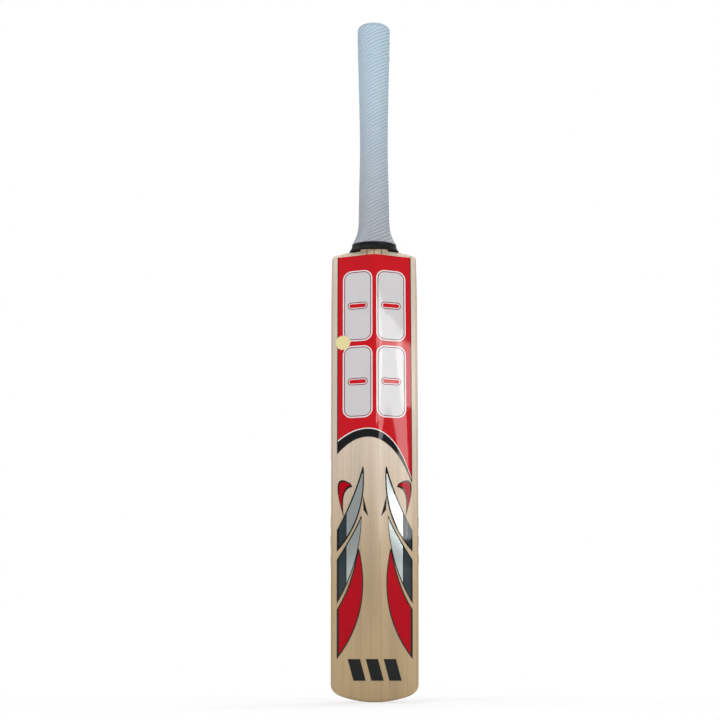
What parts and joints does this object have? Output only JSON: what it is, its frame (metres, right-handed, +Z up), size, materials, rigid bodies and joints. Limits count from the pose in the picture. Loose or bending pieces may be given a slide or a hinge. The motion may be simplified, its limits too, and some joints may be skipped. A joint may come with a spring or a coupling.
{
  "type": "cricket bat",
  "caption": "Senior cricket bat: pale willow blade with a ridged back, laminated cane handle spliced in, and a textured rubber grip.",
  "frame": {"origin": "on the handle's axis, in the middle of the grip where the hands hold it", "axes": "+Z up the bat from toe to handle, the hitting face towards -Y and the spine towards +Y, +X to the right seen from the face"},
  "size_m": [0.1086, 0.0729, 0.8712],
  "materials": {
    "willow": "pale, fine straight grain, thin satin lacquer",
    "cane": "raw cane, close straight fibres",
    "spring_rubber": "matt",
    "twine": "waxed linen twine, close wound",
    "grip_rubber": "pale blue-grey rubber with a fine slanted scale pattern",
    "collar_rubber": "black, slightly glossy",
    "facing_film": "clear gloss film",
    "label_vinyl": "gloss red vinyl with white and black lines",
    "silver_foil": "brushed silver foil, clear coated",
    "seal_foil": "pale gold foil, scalloped",
    "sweep_vinyl": "gloss vinyl in slate, silver and red, outlined in black",
    "black_print": "black gloss vinyl"
  },
  "bodies": {
    "root": {"blade": "willow", "cane_left_outer_face": "cane", "cane_left_outer_middle": "cane", "cane_left_outer_back": "cane", "cane_left_inner_face": "cane", "cane_left_inner_middle": "cane", "cane_left_inner_back": "cane", "cane_right_inner_face": "cane", "cane_right_inner_middle": "cane", "cane_right_inner_back": "cane", "cane_right_outer_face": "cane", "cane_right_outer_middle": "cane", "cane_right_outer_back": "cane", "spring_left": "spring_rubber", "spring_centre": "spring_rubber", "spring_right": "spring_rubber", "twine_binding": "twine", "rubber_grip": "grip_rubber", "shoulder_collar": "collar_rubber", "clear_facing": "facing_film", "face_label": "label_vinyl", "face_panels": "silver_foil", "face_stripe": "label_vinyl", "back_label": "label_vinyl", "back_panels": "silver_foil", "seal": "seal_foil", "back_sweep_left": "sweep_vinyl", "back_sweep_right": "sweep_vinyl", "back_toe_bars": "black_print", "edge_label_left": "label_vinyl", "edge_label_right": "label_vinyl", "edge_bars_left": "black_print", "edge_bars_right": "black_print"}
  },
  "joints": []
}
